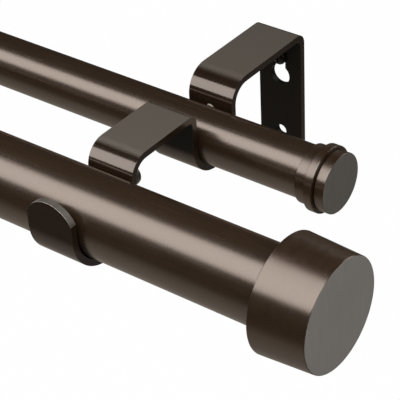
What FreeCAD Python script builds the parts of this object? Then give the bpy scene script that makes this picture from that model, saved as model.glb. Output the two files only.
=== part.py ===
import FreeCAD, Part
import os
import re
import Sketcher

# Double curtain pole: two telescopic tubes, one behind the other, in two bent strip brackets.
# +X runs along the poles, +Y into the wall, +Z up. Millimetres.
# The origin lies on the wall face of the right bracket, midway between its two fixing screws.

# Driving sizes: name, value
SIZES = [
    # Poles as they hang
    ("overall_length", 711.0),
    ("right_overhang", 101.0),
    ("back_end_inset", 38.9),
    ("front_projection", 117.0),
    ("back_projection", 56.6),
    ("front_axis_height", 14.45),
    ("back_drop", 1.3),
    ("front_diameter", 28.0),
    ("back_diameter", 19.5),
    ("outer_wall", 0.8),
    ("inner_wall", 0.8),
    ("sleeve_wall", 0.7),
    ("inner_shortfall", 50.0),
    ("closing_gap", 0.5),
    # Clearances
    ("slip_gap", 0.05),
    ("seat_gap", 0.1),
    # Bracket strip
    ("strip_width", 19.0),
    ("strip_thickness", 2.5),
    ("front_arch_rise", 14.0),
    ("back_arch_rise", 14.4),
    ("front_bend_radius", 8.3),
    ("middle_bend_radius", 4.0),
    ("back_bend_radius", 9.4),
    ("wall_bend_radius", 4.5),
    ("cradle_play", 0.4),
    ("front_rest_angle", 45.0),
    ("back_rest_angle", -30.0),
    ("tab_rise", 12.3),
    ("plate_drop", 25.0),
    ("end_crown", 6.0),
    ("cut_margin", 0.5),
    # Holes in the strip
    ("fixing_spacing", 32.5),
    ("fixing_hole_diameter", 4.8),
    ("keyhole_entry_diameter", 8.4),
    ("keyhole_travel", 7.6),
    # Lock screws
    ("lock_screw_diameter", 4.0),
    ("lock_head_diameter", 8.4),
    ("lock_head_height", 3.0),
    ("front_lock_reach", 6.5),
    ("back_lock_reach", 2.4),
    ("back_lock_rise", 3.4),
    ("lock_slot_width", 1.0),
    ("lock_slot_depth", 1.2),
    # Wall screws
    ("wall_screw_diameter", 3.4),
    ("wall_screw_length", 12.0),
    ("wall_screw_point", 3.0),
    ("wall_head_diameter", 5.6),
    ("wall_head_height", 1.6),
    ("wall_slot_width", 0.7),
    ("wall_slot_depth", 0.6),
    # Front end caps, cup shaped, with adapter rings
    ("front_cap_length", 20.4),
    ("front_adapter_thickness", 3.8),
    ("front_cap_wall", 1.6),
    ("front_cap_flare", 1.1),
    ("front_cap_floor", 2.0),
    ("adapter_recess", 0.5),
    # Back end caps, turned
    ("collar_wall", 0.95),
    ("collar_length", 4.4),
    ("ring_step", 1.45),
    ("ring_length", 3.2),
    ("groove_depth", 2.0),
    ("groove_width", 0.5),
    ("disc_step", 0.25),
    ("disc_length", 3.7),
    ("back_cap_floor", 0.9),
    ("plug_length", 12.0),
    ("edge_break", 0.4),
    # Sleeves and bushes
    ("sleeve_flange", 1.0),
    ("sleeve_length", 20.0),
    ("bush_stub_length", 12.0),
    ("bush_collar_length", 8.0),
    ("bush_wall", 1.6),
]

# Sizes that follow from the driving ones
DERIVED = {
    # Radii and heights
    "front_radius": "front_diameter / 2",
    "back_radius": "back_diameter / 2",
    "front_bore": "front_radius - outer_wall",
    "back_bore": "back_radius - outer_wall",
    "front_inner_radius": "front_bore - slip_gap - sleeve_wall - slip_gap",
    "back_inner_radius": "back_bore - slip_gap - sleeve_wall - slip_gap",
    "back_axis_height": "front_axis_height - back_drop",
    "lock_screw_radius": "lock_screw_diameter / 2",
    # End caps, built up from the tubes they hold
    "front_cap_bore": "front_radius + slip_gap + front_adapter_thickness + slip_gap",
    "front_cap_face": "front_cap_bore + front_cap_wall",
    "front_cap_rim": "front_cap_face + front_cap_flare",
    "back_cap_bore": "back_radius + slip_gap",
    "collar_radius": "back_cap_bore + collar_wall",
    "ring_radius": "collar_radius + ring_step",
    "disc_radius": "collar_radius + disc_step",
    "groove_radius": "disc_radius - groove_depth",
    # Bracket: distances from the wall, and heights
    "half_width": "strip_width / 2",
    "front_cradle": "front_radius + cradle_play",
    "back_cradle": "back_radius + cradle_play",
    "rest_offset": "cradle_play - seat_gap",
    "front_leg": "front_projection - front_cradle + rest_offset * sin(front_rest_angle)",
    "back_leg": "back_projection - back_cradle + rest_offset * sin(back_rest_angle)",
    "front_rise": "front_leg + 2 * front_cradle",
    "back_rise": "back_leg + 2 * back_cradle",
    "front_cradle_height": "front_axis_height + rest_offset * cos(front_rest_angle)",
    "back_cradle_height": "back_axis_height + rest_offset * cos(back_rest_angle)",
    "front_top": "front_axis_height + front_arch_rise",
    "back_top": "front_axis_height + back_arch_rise",
    "tab_tip": "front_axis_height + tab_rise",
    "crown_radius": "(half_width ^ 2 + end_crown ^ 2) / (2 * end_crown)",
    # Ends of the poles along X
    "left_end": "right_overhang - overall_length",
    "back_left_end": "left_end + back_end_inset",
    "back_right_end": "right_overhang - back_end_inset",
    "left_bracket_x": "left_end + right_overhang",
    "back_cap_depth": "disc_length + groove_width + back_cap_floor",
    "back_cap_length": "disc_length + groove_width + ring_length + collar_length",
    "front_mouth": "left_end + front_cap_length + closing_gap + sleeve_flange",
    "back_mouth": "back_left_end + back_cap_length + closing_gap + sleeve_flange",
    "front_outer_end": "right_overhang - front_cap_floor - seat_gap",
    "back_outer_end": "back_right_end - back_cap_depth - seat_gap",
    "front_inner_start": "left_end + front_cap_floor + seat_gap",
    "back_inner_start": "back_left_end + back_cap_depth + seat_gap",
    "front_inner_length": "front_outer_end - front_mouth - inner_shortfall",
    "back_inner_length": "back_outer_end - back_mouth - inner_shortfall",
    # Lock screws: their tips stop just short of the poles, the back one above the axis
    "front_lock_tip": "front_projection - front_radius - seat_gap",
    "back_lock_low": "back_lock_rise - lock_screw_radius",
    "back_lock_tip": "back_projection - sqrt(back_radius ^ 2 - (back_lock_low) ^ 2) - seat_gap",
}

STEP_FOLDER = "parts"
PLANE_ROLES = {"front": "XZ_Plane", "side": "YZ_Plane", "flat": "XY_Plane"}
VERTEX_OF_ORIGIN = (-1, 1)
START_POINT = 1
END_POINT = 2
CIRCLE_CENTRE = 3
PLAIN_CORNER_VALUES = 2
FULL_TURN = 360.0

doc = FreeCAD.newDocument("double_curtain_pole")
sheet = doc.addObject("Spreadsheet::Sheet", "sizes")
for row, (alias, value) in enumerate(SIZES, start=1):
    cell = "B%d" % row
    sheet.set("A%d" % row, alias)
    sheet.set(cell, str(value))
    sheet.setAlias(cell, alias)
doc.recompute()

ALIASES = {alias for alias, value in SIZES}
bodies = []


def formula(text):
    """Turn a formula in plain size names into one that reads the sheet."""
    def swap(match):
        word = match.group(0)
        if word in DERIVED:
            return "(" + formula(DERIVED[word]) + ")"
        return "sizes." + word if word in ALIASES else word
    return re.sub(r"[a-z][a-z_]*", swap, text)


def number(text):
    """Value of a formula at the present sizes."""
    return float(sheet.evalExpression(formula(text)))


def bind(thing, prop, text):
    """Tie a property to a formula."""
    thing.setExpression(prop, formula(text))


def new_body(name):
    body = doc.addObject("PartDesign::Body", name)
    body.Label = name
    bodies.append(body)
    return body


def place(body, x, y, z, turn=0.0):
    """Put a body at x, y, z, turned about the vertical by a number of degrees."""
    rotation = FreeCAD.Rotation(FreeCAD.Vector(0, 0, 1), turn)
    body.Placement = FreeCAD.Placement(FreeCAD.Vector(number(x), number(y), number(z)), rotation)
    for axis, text in (("x", x), ("y", y), ("z", z)):
        bind(body, "Placement.Base." + axis, text)


def new_sketch(body, name, plane, offset="0"):
    """Sketch on one of the body's own planes, moved along the plane's normal."""
    sketch = body.newObject("Sketcher::SketchObject", name)
    role = PLANE_ROLES[plane]
    support = [feature for feature in body.Origin.OriginFeatures if feature.Role == role][0]
    sketch.AttachmentSupport = [(support, "")]
    sketch.MapMode = "FlatFace"
    bind(sketch, "AttachmentOffset.Base.z", offset)
    return sketch


def pin_point(sketch, shape, vertex, across=None, up=None):
    """Dimension a vertex of a sketch shape from the sketch's origin."""
    for kind, text in (("DistanceX", across), ("DistanceY", up)):
        if text is None:
            continue
        rule = Sketcher.Constraint(kind, *VERTEX_OF_ORIGIN, shape, vertex, number(text))
        index = sketch.addConstraint(rule)
        bind(sketch, "Constraints[%d]" % index, text)


def draw_circle(sketch, across, up, radius):
    centre = FreeCAD.Vector(number(across), number(up), 0)
    shape = sketch.addGeometry(Part.Circle(centre, FreeCAD.Vector(0, 0, 1), number(radius)), False)
    pin_point(sketch, shape, CIRCLE_CENTRE, across, up)
    index = sketch.addConstraint(Sketcher.Constraint("Radius", shape, number(radius)))
    bind(sketch, "Constraints[%d]" % index, radius)


def draw_outline(sketch, corners):
    """Closed outline. A corner is (across, up), and (across, up, centre across, centre up, way)
    where an arc runs on from it to the next corner, anticlockwise if way is "left"."""
    points = [FreeCAD.Vector(number(corner[0]), number(corner[1]), 0) for corner in corners]
    ends = []
    for index, corner in enumerate(corners):
        start = points[index]
        end = points[(index + 1) % len(points)]
        if len(corner) == PLAIN_CORNER_VALUES:
            shape = sketch.addGeometry(Part.LineSegment(start, end), False)
            ends.append((shape, START_POINT, END_POINT))
            continue
        centre = FreeCAD.Vector(number(corner[2]), number(corner[3]), 0)
        middle = arc_middle(start, end, centre, corner[4])
        shape = sketch.addGeometry(Part.Arc(start, middle, end), False)
        if corner[4] == "left":
            ends.append((shape, START_POINT, END_POINT))
        else:
            ends.append((shape, END_POINT, START_POINT))
    for index, (shape, first, last) in enumerate(ends):
        following, following_first, _ = ends[(index + 1) % len(ends)]
        sketch.addConstraint(Sketcher.Constraint("Coincident", shape, last, following, following_first))
    for corner, (shape, first, last) in zip(corners, ends):
        pin_point(sketch, shape, first, corner[0], corner[1])
        if len(corner) > PLAIN_CORNER_VALUES:
            pin_point(sketch, shape, CIRCLE_CENTRE, up=corner[3])


def arc_middle(start, end, centre, way):
    """Point halfway along the arc from start to end."""
    from_centre = start - centre
    chord = end - start
    across = FreeCAD.Vector(chord.y, -chord.x, 0)
    if way == "right":
        across = across.negative()
    across.normalize()
    return centre + across * from_centre.Length


def rounded(along, radius, turn_in):
    """Two corners of a turned section that round an edge at (along, radius). Turn_in is True
    where the edge leads on from a face that looks to the start, False where it leads to the end."""
    if turn_in:
        return [(along, "%s - edge_break" % radius,
                 "%s + edge_break" % along, "%s - edge_break" % radius, "right"),
                ("%s + edge_break" % along, radius)]
    return [("%s - edge_break" % along, radius,
             "%s - edge_break" % along, "%s - edge_break" % radius, "right"),
            (along, "%s - edge_break" % radius)]


def pad(body, sketch, name, length, both_ways=False):
    feature = body.newObject("PartDesign::Pad", name)
    feature.Profile = sketch
    if both_ways:
        feature.Midplane = True
    bind(feature, "Length", length)
    return feature


def pocket(body, sketch, name, depth, away_from_origin=True):
    """Cut a sketch into the body. The cut has to take material away."""
    doc.recompute()
    before = body.Shape.Volume
    feature = body.newObject("PartDesign::Pocket", name)
    feature.Profile = sketch
    feature.Reversed = away_from_origin
    bind(feature, "Length", depth)
    doc.recompute()
    if body.Shape.Volume >= before:
        raise ValueError("%s in %s cuts nothing" % (name, body.Label))
    return feature


def turned(name, corners):
    """Body of revolution about its own X axis, from (along, radius) corners."""
    body = new_body(name)
    section = new_sketch(body, name + "_section", "flat")
    draw_outline(section, corners)
    feature = body.newObject("PartDesign::Revolution", name + "_turning")
    feature.Profile = section
    feature.ReferenceAxis = (section, ["H_Axis"])
    feature.Angle = FULL_TURN
    return body


def strip_outline():
    """Side view of the bent strip, as (distance from the wall, height) along both of its faces."""
    wall_face = [
        ("0", "-plate_drop"),
        ("0", "back_top - wall_bend_radius",
         "-wall_bend_radius", "back_top - wall_bend_radius", "left"),
        ("-wall_bend_radius", "back_top"),
        ("back_bend_radius - back_leg", "back_top",
         "back_bend_radius - back_leg", "back_top - back_bend_radius", "left"),
        ("-back_leg", "back_top - back_bend_radius"),
        ("-back_leg", "back_cradle_height",
         "-back_leg - back_cradle", "back_cradle_height", "right"),
        ("-back_rise", "back_cradle_height"),
        ("-back_rise", "front_top - middle_bend_radius",
         "-back_rise - middle_bend_radius", "front_top - middle_bend_radius", "left"),
        ("-back_rise - middle_bend_radius", "front_top"),
        ("front_bend_radius - front_leg", "front_top",
         "front_bend_radius - front_leg", "front_top - front_bend_radius", "left"),
        ("-front_leg", "front_top - front_bend_radius"),
        ("-front_leg", "front_cradle_height",
         "-front_leg - front_cradle", "front_cradle_height", "right"),
        ("-front_rise", "front_cradle_height"),
        ("-front_rise", "tab_tip"),
    ]
    room_face = [
        ("-front_rise - strip_thickness", "tab_tip"),
        ("-front_rise - strip_thickness", "front_cradle_height",
         "-front_leg - front_cradle", "front_cradle_height", "left"),
        ("strip_thickness - front_leg", "front_cradle_height"),
        ("strip_thickness - front_leg", "front_top - front_bend_radius",
         "front_bend_radius - front_leg", "front_top - front_bend_radius", "right"),
        ("front_bend_radius - front_leg", "front_top - strip_thickness"),
        ("-back_rise - middle_bend_radius", "front_top - strip_thickness",
         "-back_rise - middle_bend_radius", "front_top - middle_bend_radius", "right"),
        ("-back_rise - strip_thickness", "front_top - middle_bend_radius"),
        ("-back_rise - strip_thickness", "back_cradle_height",
         "-back_leg - back_cradle", "back_cradle_height", "left"),
        ("strip_thickness - back_leg", "back_cradle_height"),
        ("strip_thickness - back_leg", "back_top - back_bend_radius",
         "back_bend_radius - back_leg", "back_top - back_bend_radius", "right"),
        ("back_bend_radius - back_leg", "back_top - strip_thickness"),
        ("-wall_bend_radius", "back_top - strip_thickness",
         "-wall_bend_radius", "back_top - wall_bend_radius", "right"),
        ("-strip_thickness", "back_top - wall_bend_radius"),
        ("-strip_thickness", "-plate_drop"),
    ]
    return wall_face + room_face


def crown_outline(tip, sign, way):
    """What is cut away to round an end of the strip. Sign is "-" for an end that points down."""
    other = "+" if sign == "-" else "-"
    shoulder = "%s %s end_crown" % (tip, other)
    centre = "%s %s crown_radius" % (tip, other)
    beyond = "%s %s cut_margin" % (tip, sign)
    return [
        ("-half_width - cut_margin", shoulder),
        ("-half_width", shoulder, "0", centre, way),
        ("half_width", shoulder),
        ("half_width + cut_margin", shoulder),
        ("half_width + cut_margin", beyond),
        ("-half_width - cut_margin", beyond),
    ]


def make_bracket(name, x):
    body = new_body(name)
    side = new_sketch(body, name + "_side", "side")
    draw_outline(side, strip_outline())
    pad(body, side, name + "_strip", "strip_width", both_ways=True)

    tab_end = new_sketch(body, name + "_tab_end", "front", "front_rise - cut_margin")
    draw_outline(tab_end, crown_outline("tab_tip", "+", "right"))
    pocket(body, tab_end, name + "_tab_crown", "strip_thickness + 2 * cut_margin")

    plate_end = new_sketch(body, name + "_plate_end", "front", "-cut_margin")
    draw_outline(plate_end, crown_outline("-plate_drop", "-", "left"))
    pocket(body, plate_end, name + "_plate_crown", "strip_thickness + 2 * cut_margin")

    # The keyhole: the screw's head enters below, and its shank slides up to the seat
    entry = new_sketch(body, name + "_entry", "front")
    draw_circle(entry, "0", "fixing_spacing / 2 - keyhole_travel", "keyhole_entry_diameter / 2")
    pocket(body, entry, name + "_keyhole_entry", "strip_thickness")
    slot = new_sketch(body, name + "_slot", "front")
    hole_radius = "fixing_hole_diameter / 2"
    seat = "fixing_spacing / 2"
    draw_outline(slot, [
        ("-" + hole_radius, seat + " - keyhole_travel"),
        (hole_radius, seat + " - keyhole_travel"),
        (hole_radius, seat, "0", seat, "left"),
        ("-" + hole_radius, seat),
    ])
    pocket(body, slot, name + "_keyhole_slot", "strip_thickness")
    lower = new_sketch(body, name + "_lower_hole", "front")
    draw_circle(lower, "0", "-fixing_spacing / 2", hole_radius)
    pocket(body, lower, name + "_lower_fixing", "strip_thickness")

    # A tapped hole in each leg, level with its lock screw
    for leg, height in (("front_leg", "front_axis_height"), ("back_leg", "back_axis_height + back_lock_rise")):
        tapping = new_sketch(body, "%s_%s_tapping" % (name, leg), "front", leg + " - strip_thickness")
        draw_circle(tapping, "0", height, "lock_screw_radius + slip_gap")
        pocket(body, tapping, "%s_%s_hole" % (name, leg), "strip_thickness")
    place(body, x, "0", "0")


def make_tube(name, start, length, radius, wall, depth, height):
    """Tube from start, along X, depth in front of the wall."""
    body = new_body(name)
    section = new_sketch(body, name + "_section", "side")
    draw_circle(section, "0", "0", radius)
    draw_circle(section, "0", "0", radius + " - " + wall)
    pad(body, section, name + "_length", length)
    place(body, start, "-" + depth, height)


def slotted(body, head_radius, width, depth):
    """Cut a screwdriver slot across the head, whose top lies in the body's YZ plane."""
    slot = new_sketch(body, body.Label + "_slot", "side")
    half = width + " / 2"
    reach = head_radius + " + cut_margin"
    draw_outline(slot, [
        ("-" + half, "-(" + reach + ")"),
        (half, "-(" + reach + ")"),
        (half, reach),
        ("-" + half, reach),
    ])
    pocket(body, slot, body.Label + "_slot_cut", depth)


def make_lock_screw(name, x, tip, reach, leg, height):
    """Thumb screw through a leg, with its head towards the wall."""
    head = "lock_head_diameter / 2"
    length = "lock_head_height + %s - (%s) + %s" % (tip, leg, reach)
    body = turned(name, [
        ("0", "0"),
        *rounded("0", head, True),
        *rounded("lock_head_height", head, False),
        ("lock_head_height", "lock_screw_radius"),
        *rounded(length, "lock_screw_radius", False),
        (length, "0"),
    ])
    slotted(body, "lock_head_diameter / 2", "lock_slot_width", "lock_slot_depth")
    place(body, x, "lock_head_height + %s - (%s)" % (reach, leg), height, -90.0)


def make_wall_screw(name, x):
    """Pan head screw in the keyhole's seat, with its shank into the wall."""
    head = "wall_head_diameter / 2"
    shank = "wall_screw_diameter / 2"
    tip = "wall_head_height + wall_screw_length"
    body = turned(name, [
        ("0", "0"),
        *rounded("0", head, True),
        ("wall_head_height", head),
        ("wall_head_height", shank),
        (tip + " - wall_screw_point", shank),
        (tip, "0"),
    ])
    slotted(body, head, "wall_slot_width", "wall_slot_depth")
    place(body, x, "-strip_thickness - wall_head_height", "fixing_spacing / 2", 90.0)


def make_front_cap(name, end, turn):
    """Cup with a slight flare towards its open rim."""
    body = turned(name, [
        ("0", "0"),
        *rounded("0", "front_cap_face", True),
        *rounded("front_cap_length", "front_cap_rim", False),
        ("front_cap_length", "front_cap_bore"),
        ("front_cap_floor", "front_cap_bore"),
        ("front_cap_floor", "0"),
    ])
    place(body, end, "-front_projection", "front_axis_height", turn)


def make_back_cap(name, end, turn):
    """Turned cap: end disc, narrow groove, ring and collar, with a bore for the tube."""
    groove_start = "disc_length"
    ring_start = "disc_length + groove_width"
    collar_start = ring_start + " + ring_length"
    body = turned(name, [
        ("0", "0"),
        *rounded("0", "disc_radius", True),
        (groove_start, "disc_radius"),
        (groove_start, "groove_radius"),
        (ring_start, "groove_radius"),
        *rounded(ring_start, "ring_radius", True),
        (collar_start, "ring_radius"),
        (collar_start, "collar_radius"),
        ("back_cap_length", "collar_radius"),
        ("back_cap_length", "back_cap_bore"),
        ("back_cap_depth", "back_cap_bore"),
        ("back_cap_depth", "0"),
    ])
    place(body, end, "-back_projection", "back_axis_height", turn)


def make_ring(name, start, end, bore, radius):
    """Plain ring about X, from start to end along its axis."""
    return turned(name, [(start, bore), (start, radius), (end, radius), (end, bore)])


def make_sleeve(name, mouth, tube_radius, tube_bore, depth, height):
    """Guide sleeve in the mouth of an outer tube, with a flange over the tube's edge."""
    bore = tube_bore + " - slip_gap - sleeve_wall"
    body = turned(name, [
        ("0", bore),
        *rounded("0", tube_radius, True),
        ("sleeve_flange", tube_radius),
        ("sleeve_flange", tube_bore + " - slip_gap"),
        ("sleeve_length", tube_bore + " - slip_gap"),
        ("sleeve_length", bore),
    ])
    place(body, mouth + " - sleeve_flange", "-" + depth, height)


def make_bush(name, tube_end, inner_radius, tube_bore, depth, height):
    """Bush on the hidden end of an inner tube, which slides in the outer one."""
    inner_bore = inner_radius + " - inner_wall"
    body = turned(name, [
        ("0", inner_bore + " - bush_wall"),
        ("0", inner_bore + " - slip_gap"),
        ("bush_stub_length", inner_bore + " - slip_gap"),
        ("bush_stub_length", tube_bore + " - slip_gap"),
        ("bush_stub_length + bush_collar_length", tube_bore + " - slip_gap"),
        ("bush_stub_length + bush_collar_length", inner_bore + " - bush_wall"),
    ])
    place(body, tube_end + " - bush_stub_length", "-" + depth, height)


# Brackets with their screws
for side, bracket_x in (("right", "0"), ("left", "left_bracket_x")):
    make_bracket(side + "_bracket", bracket_x)
    make_lock_screw("front_%s_lock_screw" % side, bracket_x,
                    "front_lock_tip", "front_lock_reach", "front_leg - strip_thickness",
                    "front_axis_height")
    make_lock_screw("back_%s_lock_screw" % side, bracket_x,
                    "back_lock_tip", "back_lock_reach", "back_leg - strip_thickness",
                    "back_axis_height + back_lock_rise")
    make_wall_screw(side + "_wall_screw", bracket_x)

# Tubes
for pole in ("front", "back"):
    depth = pole + "_projection"
    height = pole + "_axis_height"
    outer = pole + "_radius"
    bore = pole + "_bore"
    inner = pole + "_inner_radius"
    make_tube(pole + "_outer_tube", pole + "_mouth", "%s_outer_end - %s_mouth" % (pole, pole),
              outer, "outer_wall", depth, height)
    make_tube(pole + "_inner_tube", pole + "_inner_start", pole + "_inner_length",
              inner, "inner_wall", depth, height)
    make_sleeve(pole + "_mouth_sleeve", pole + "_mouth", outer, bore, depth, height)
    make_bush(pole + "_guide_bush", "%s_inner_start + %s_inner_length" % (pole, pole),
              inner, bore, depth, height)

# End caps: the right ones face +X, the left ones -X
RIGHT_TURN = 180.0
LEFT_TURN = 0.0
make_front_cap("front_right_end_cap", "right_overhang", RIGHT_TURN)
make_front_cap("front_left_end_cap", "left_end", LEFT_TURN)
make_back_cap("back_right_end_cap", "back_right_end", RIGHT_TURN)
make_back_cap("back_left_end_cap", "back_left_end", LEFT_TURN)

# What holds each cap to its tube
cup_start = "front_cap_floor + seat_gap"
cup_end = "front_cap_length - adapter_recess"
cup_bore = "front_cap_bore - slip_gap"
right_adapter = make_ring("front_right_cap_adapter", cup_start, cup_end, "front_radius + slip_gap", cup_bore)
place(right_adapter, "right_overhang", "-front_projection", "front_axis_height", RIGHT_TURN)
left_adapter = make_ring("front_left_cap_adapter", cup_start, cup_end,
                         "front_inner_radius + slip_gap", cup_bore)
place(left_adapter, "left_end", "-front_projection", "front_axis_height", LEFT_TURN)
plug_start = "back_cap_depth + seat_gap"
plug = turned("back_right_cap_plug", [
    (plug_start, "0"),
    (plug_start, "back_bore - slip_gap"),
    (plug_start + " + plug_length - edge_break", "back_bore - slip_gap"),
    (plug_start + " + plug_length", "back_bore - slip_gap - edge_break"),
    (plug_start + " + plug_length", "0"),
])
place(plug, "back_right_end", "-back_projection", "back_axis_height", RIGHT_TURN)
reducer = make_ring("back_left_cap_adapter", plug_start, "back_cap_length - seat_gap",
                    "back_inner_radius + slip_gap", "back_radius")
place(reducer, "back_left_end", "-back_projection", "back_axis_height", LEFT_TURN)

doc.recompute()

for thing in doc.Objects:
    faults = [state for state in thing.State if state in ("Invalid", "Error")]
    if faults:
        raise RuntimeError("%s is %s" % (thing.Label, faults[0]))
for body in bodies:
    shape = body.Shape
    if shape.isNull() or not shape.isValid() or len(shape.Solids) != 1:
        raise RuntimeError(body.Label + " is not one sound solid")

os.makedirs(STEP_FOLDER, exist_ok=True)
for body in bodies:
    body.Shape.exportStep(os.path.join(STEP_FOLDER, body.Label + ".step"))
    box = body.Shape.BoundBox
    print("%-26s %9.1f mm3  x %8.2f %8.2f  y %8.2f %8.2f  z %7.2f %7.2f" % (
        body.Label, body.Shape.Volume, box.XMin, box.XMax, box.YMin, box.YMax, box.ZMin, box.ZMax))
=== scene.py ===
from math import pi, radians, sqrt

import bmesh
import bpy
from bpy.props import FloatProperty, FloatVectorProperty, IntProperty, PointerProperty
from bpy.types import NodeSocket, Operator, Panel, PropertyGroup
from mathutils import Matrix, Vector


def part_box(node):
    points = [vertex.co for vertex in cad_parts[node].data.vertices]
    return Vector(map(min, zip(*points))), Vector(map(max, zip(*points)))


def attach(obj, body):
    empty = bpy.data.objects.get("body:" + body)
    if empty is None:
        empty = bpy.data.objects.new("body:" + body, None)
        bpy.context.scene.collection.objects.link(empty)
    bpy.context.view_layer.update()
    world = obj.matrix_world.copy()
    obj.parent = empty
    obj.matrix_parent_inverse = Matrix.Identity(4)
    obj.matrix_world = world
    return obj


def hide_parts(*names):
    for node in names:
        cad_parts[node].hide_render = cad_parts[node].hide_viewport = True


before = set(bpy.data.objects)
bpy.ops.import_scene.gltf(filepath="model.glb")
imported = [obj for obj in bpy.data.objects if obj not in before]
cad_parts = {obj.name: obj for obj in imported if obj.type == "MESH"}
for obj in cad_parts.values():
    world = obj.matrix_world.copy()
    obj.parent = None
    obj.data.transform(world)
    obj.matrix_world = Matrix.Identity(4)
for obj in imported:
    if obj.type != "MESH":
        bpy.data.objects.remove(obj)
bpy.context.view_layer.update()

bl_info = {
    "name": "Double Curtain Pole",
    "version": (1, 0, 0),
    "blender": (4, 5, 0),
    "location": "View3D > Sidebar > Curtain Pole",
    "description": "Builds a telescopic double curtain pole with its brackets, caps and screws",
    "category": "Object",
}

MM = 0.001


def middle(node):
    """Middle of a CAD node's box."""
    low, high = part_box(node)
    return (low + high) / 2


def length_along_x(node):
    low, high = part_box(node)
    return high.x - low.x


def height_of(node):
    low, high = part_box(node)
    return high.z - low.z


FRONT_AXIS = middle("front_outer_tube")
BACK_AXIS = middle("back_outer_tube")
LEFT_BRACKET_X = middle("left_bracket").x


class CurtainPoleSizes(PropertyGroup):
    """Sizes that shape the pieces."""
    front_diameter: FloatProperty(
        name="Front pole", description="Outside diameter of the front outer tube",
        default=height_of("front_outer_tube"), unit="LENGTH")
    back_diameter: FloatProperty(
        name="Back pole", description="Outside diameter of the back outer tube",
        default=height_of("back_outer_tube"), unit="LENGTH")
    front_inner_diameter: FloatProperty(
        name="Front inner tube", description="Diameter of the front inner tube",
        default=height_of("front_inner_tube"), unit="LENGTH")
    back_inner_diameter: FloatProperty(
        name="Back inner tube", description="Diameter of the back inner tube",
        default=height_of("back_inner_tube"), unit="LENGTH")
    tube_wall: FloatProperty(
        name="Tube wall", description="Wall thickness of the tubes",
        default=0.8 * MM, unit="LENGTH")
    strip_width: FloatProperty(
        name="Strip width", description="Width of the bracket's strip",
        default=length_along_x("right_bracket"), unit="LENGTH")
    strip_thickness: FloatProperty(
        name="Strip thickness", description="Thickness of the bracket's strip",
        default=2.5 * MM, unit="LENGTH")
    strip_arris: FloatProperty(
        name="Strip arris", description="Rounding of the strip's long edges",
        default=0.3 * MM, unit="LENGTH")
    edge_round: FloatProperty(
        name="Edge rounding", description="Rounding of the turned pieces' edges",
        default=0.4 * MM, unit="LENGTH")
    sides: IntProperty(
        name="Sides", description="Sides of the turned pieces",
        default=112, min=24)


class CurtainPoleFinish(PropertyGroup):
    """Colours of the finishes, and of the painted sheen, highlight, light and shade."""
    bronze: FloatVectorProperty(
        name="Bronze", description="Satin bronze lacquer of the tubes and caps",
        subtype="COLOR", size=3, default=(0.071, 0.039, 0.0195))
    strip: FloatVectorProperty(
        name="Strip", description="Bronze lacquer of the bracket's strip",
        subtype="COLOR", size=3, default=(0.045, 0.025, 0.014))
    # Painted sheen: the arches' upward flat tops are lightened to this colour, standing in for the
    # light that falls on them
    flats: FloatVectorProperty(
        name="Painted top sheen", description="Painted sheen that lightens the upward tops of the bracket's arches",
        subtype="COLOR", size=3, default=(0.172, 0.145, 0.117))
    cut: FloatVectorProperty(
        name="Cut edge", description="Paler cut edge of the bracket's tab",
        subtype="COLOR", size=3, default=(0.130, 0.115, 0.100))
    # Painted highlight: a bright line along the tab's rounded front corner, standing in for a glint
    # on the edge
    corner: FloatVectorProperty(
        name="Painted corner highlight", description="Painted highlight along the tab's round end",
        subtype="COLOR", size=3, default=(0.700, 0.650, 0.600))
    # Painted shade: a near black colour on faces where shade falls, under the arch, on the wall
    # plate and in its holes
    inside: FloatVectorProperty(
        name="Painted shade faces", description="Painted shade on faces under the bracket's arch and in its holes",
        subtype="COLOR", size=3, default=(0.008, 0.0055, 0.003))
    # Painted light and shade: the front and back caps' end faces are one brushed finish in two
    # colours, the front one painted lighter and the back one darker, as the light falls on them
    front_face: FloatVectorProperty(
        name="Front cap face", description="Brushed end face of the front caps",
        subtype="COLOR", size=3, default=(0.320, 0.301, 0.275))
    back_face: FloatVectorProperty(
        name="Back cap face", description="Brushed end face of the back caps",
        subtype="COLOR", size=3, default=(0.170, 0.156, 0.136))
    zinc: FloatVectorProperty(
        name="Screw steel", description="Plated steel of the screws",
        subtype="COLOR", size=3, default=(0.160, 0.135, 0.110))
    plastic: FloatVectorProperty(
        name="Plastic", description="Moulded plastic of sleeves and adapters",
        subtype="COLOR", size=3, default=(0.028, 0.024, 0.021))


class CurtainPoleStage(PropertyGroup):
    """Floor and lights."""
    floor_drop: FloatProperty(
        name="Floor drop", description="Depth of the floor below the origin",
        default=0.9, unit="LENGTH")
    softbox_glow: FloatProperty(
        name="Softbox glow", description="Brightness of the long softbox, 1 is white",
        default=3.0, min=0.0)
    wall_glow: FloatProperty(
        name="Wall side glow", description="Brightness of the wall side panel, 1 is white",
        default=2.2, min=0.0, max=20.0)
    fill_glow: FloatProperty(
        name="Fill glow", description="Brightness of the side panels, 1 is white",
        default=0.6, min=0.0)
    world_glow: FloatProperty(
        name="Room glow", description="Brightness of the room round the object",
        default=0.03, min=0.0)
    floor_in_metal: FloatProperty(
        name="Background in metal",
        description="Share of the white background that reflections show",
        default=0.02, min=0.0, max=1.0, subtype="FACTOR")
    floor_share: FloatProperty(
        name="Floor in metal", description="Share of the white floor that reflections show",
        default=0.35, min=0.0, max=1.0, subtype="FACTOR")


def sizes():
    return bpy.context.scene.curtain_pole_sizes


def finish():
    return bpy.context.scene.curtain_pole_finish


# Modelling

SAME_PLACE = 0.01 * MM
SAME_VERTEX = 0.002 * MM
CUTTER_SIDES = 48


def start_fresh():
    """Object mode, with nothing selected."""
    if bpy.context.object and bpy.context.object.mode != "OBJECT":
        bpy.ops.object.mode_set(mode="OBJECT")
    bpy.ops.object.select_all(action="DESELECT")


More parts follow.
